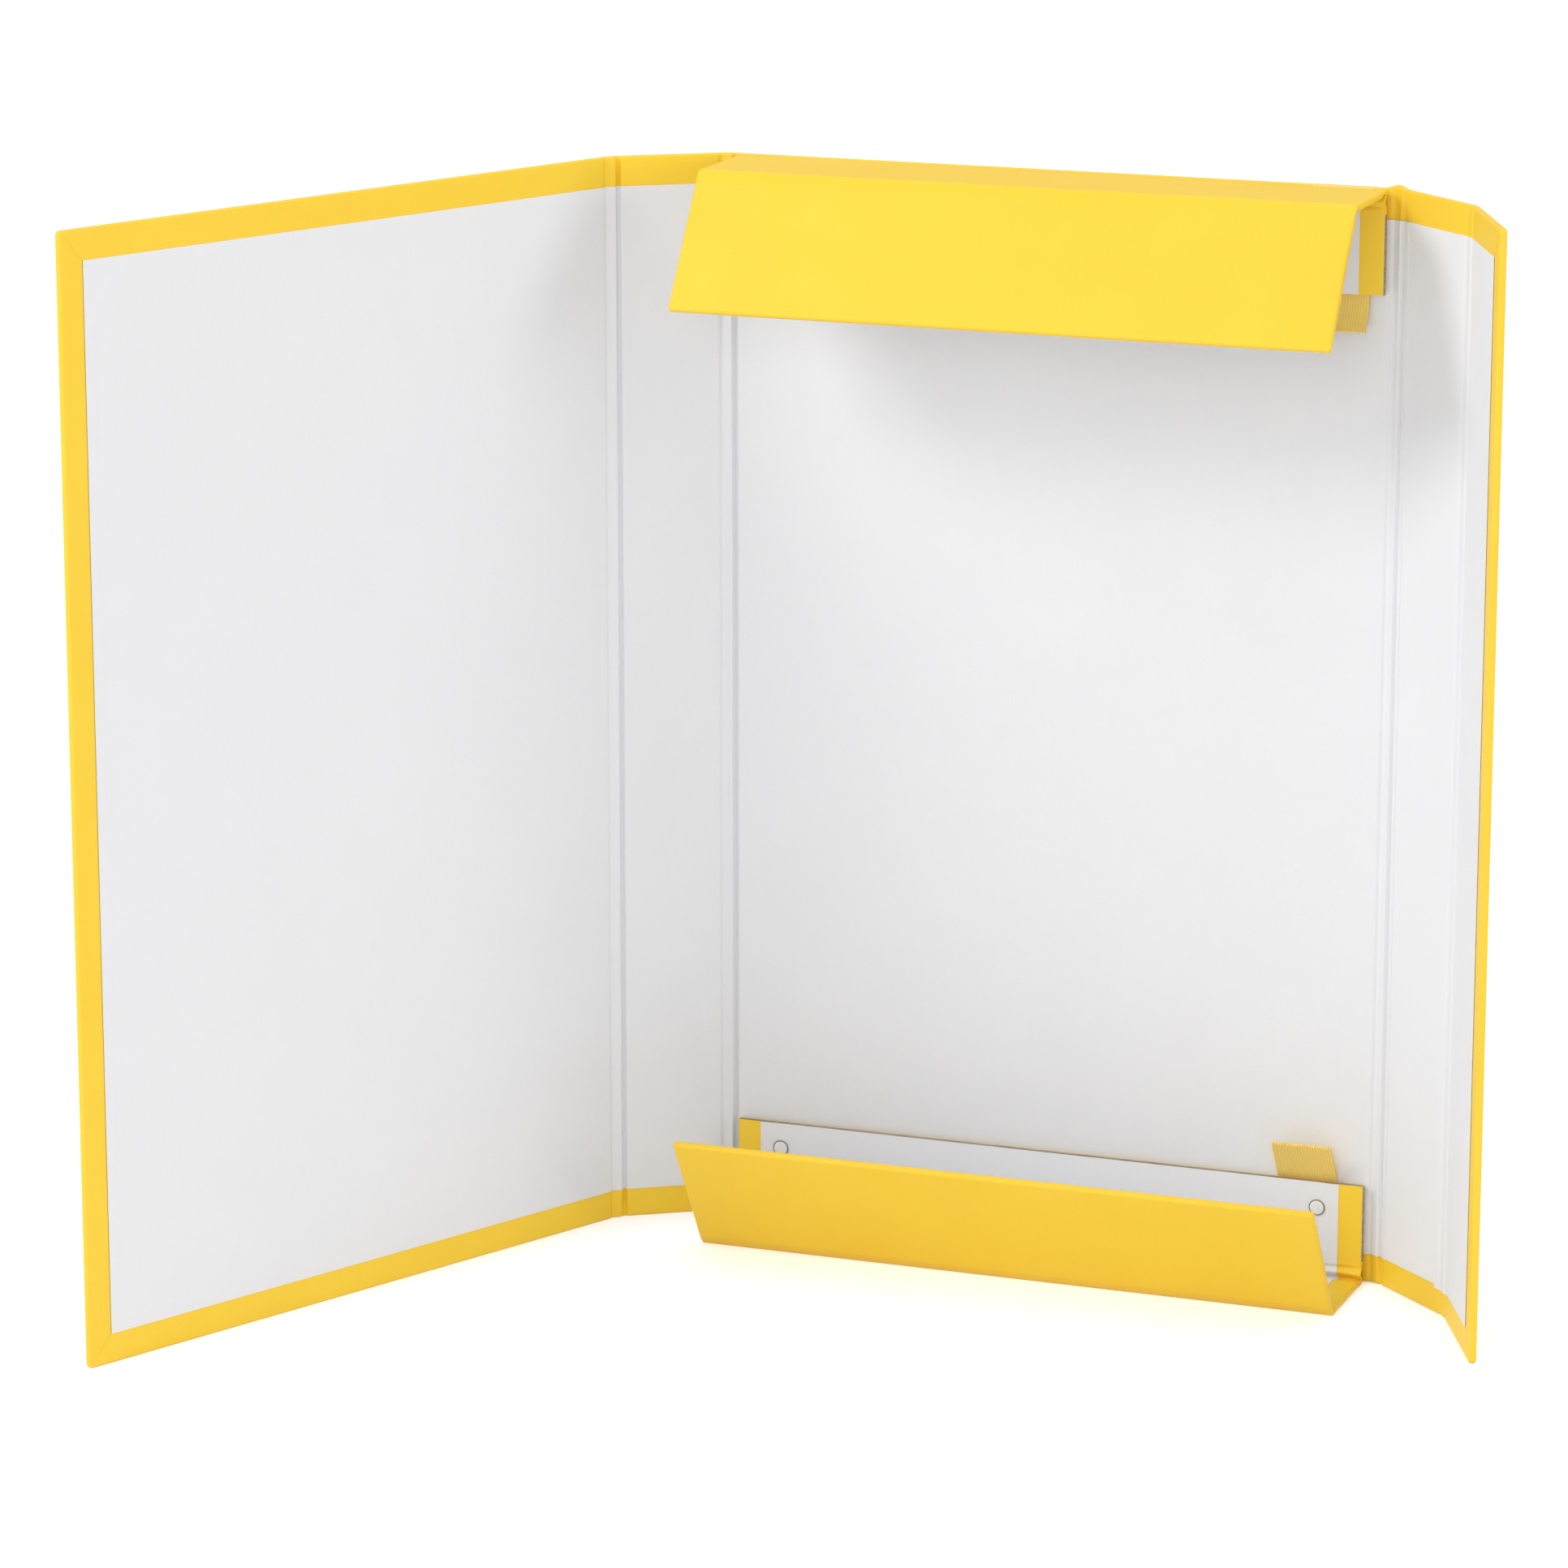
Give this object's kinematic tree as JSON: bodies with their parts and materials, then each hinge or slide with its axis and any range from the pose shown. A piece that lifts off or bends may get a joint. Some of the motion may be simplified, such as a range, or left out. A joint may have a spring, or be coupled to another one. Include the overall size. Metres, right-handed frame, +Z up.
{
  "type": "elastic folder",
  "caption": "Open box folder of paper-covered board with hinged cover, spine, closing flap, folding top and bottom flaps, and an elastic strap.",
  "frame": {"origin": "middle of the underside of the bottom wall, which the open folder stands on", "axes": "+X along the back panel to the right as seen from the open front, +Y out behind the back panel, +Z up"},
  "size_m": [0.3971, 0.2216, 0.35],
  "materials": {
    "yellow_paper": "matt, slightly grained covering paper",
    "white_lining": "matt",
    "greyboard": "raw cut board",
    "elastic": "woven elastic",
    "rivet": "satin white"
  },
  "bodies": {
    "back": {"back_board": "greyboard", "back_wrap": "yellow_paper", "back_lining": "white_lining", "top_base_board": "greyboard", "top_base_wrap": "yellow_paper", "top_base_lining": "white_lining", "bottom_base_board": "greyboard", "bottom_base_wrap": "yellow_paper", "bottom_base_lining": "white_lining", "elastic_strap": "elastic", "bottom_rivet_left": "rivet", "bottom_rivet_right": "rivet", "top_rivet_left": "rivet", "top_rivet_right": "rivet"},
    "front_cover": {"front_cover_board": "greyboard", "front_cover_wrap": "yellow_paper", "front_cover_lining": "white_lining"},
    "spine": {"spine_board": "greyboard", "spine_wrap": "yellow_paper", "spine_lining": "white_lining"},
    "fore_edge": {"fore_edge_board": "greyboard", "fore_edge_wrap": "yellow_paper", "fore_edge_lining": "white_lining"},
    "closing_flap": {"closing_flap_board": "greyboard", "closing_flap_wrap": "yellow_paper", "closing_flap_lining": "white_lining"},
    "top_wall": {"top_wall_board": "greyboard", "top_wall_wrap": "yellow_paper", "top_wall_lining": "white_lining"},
    "top_flap": {"top_flap_board": "greyboard", "top_flap_wrap": "yellow_paper", "top_flap_lining": "white_lining"},
    "bottom_wall": {"bottom_wall_board": "greyboard", "bottom_wall_wrap": "yellow_paper", "bottom_wall_lining": "white_lining"},
    "bottom_flap": {"bottom_flap_board": "greyboard", "bottom_flap_wrap": "yellow_paper", "bottom_flap_lining": "white_lining"}
  },
  "joints": [
    {"name": "spine_hinge", "type": "hinge", "parent": "back", "child": "spine", "pos_m": [-0.1104, 0.02182, 0.175], "axis": [0, 0, 1], "range_deg": [-33, 43.7]},
    {"name": "front_cover_hinge", "type": "hinge", "parent": "spine", "child": "front_cover", "pos_m": [-0.14294, 0.00069, 0.175], "axis": [0, 0, 1], "range_deg": [-31.5, 58.5]},
    {"name": "fore_edge_hinge", "type": "hinge", "parent": "back", "child": "fore_edge", "pos_m": [0.1104, 0.02182, 0.175], "axis": [0, 0, -1], "range_deg": [-41.2, 37.1]},
    {"name": "closing_flap_hinge", "type": "hinge", "parent": "fore_edge", "child": "closing_flap", "pos_m": [0.13959, -0.00374, 0.175], "axis": [0, 0, -1], "range_deg": [-24, 66]},
    {"name": "top_wall_hinge", "type": "hinge", "parent": "back", "child": "top_wall", "pos_m": [0, 0.0183, 0.34944], "axis": [1, 0, 0], "range_deg": [-90, 10]},
    {"name": "top_flap_hinge", "type": "hinge", "parent": "top_wall", "child": "top_flap", "pos_m": [0, -0.0167, 0.34944], "axis": [1, 0, 0], "range_deg": [-56.4, 33.6]},
    {"name": "bottom_wall_hinge", "type": "hinge", "parent": "back", "child": "bottom_wall", "pos_m": [0, 0.0183, 0.00056], "axis": [-1, 0, 0], "range_deg": [-90, 10]},
    {"name": "bottom_flap_hinge", "type": "hinge", "parent": "bottom_wall", "child": "bottom_flap", "pos_m": [0, -0.0167, 0.00056], "axis": [-1, 0, 0], "range_deg": [-58, 32]}
  ]
}
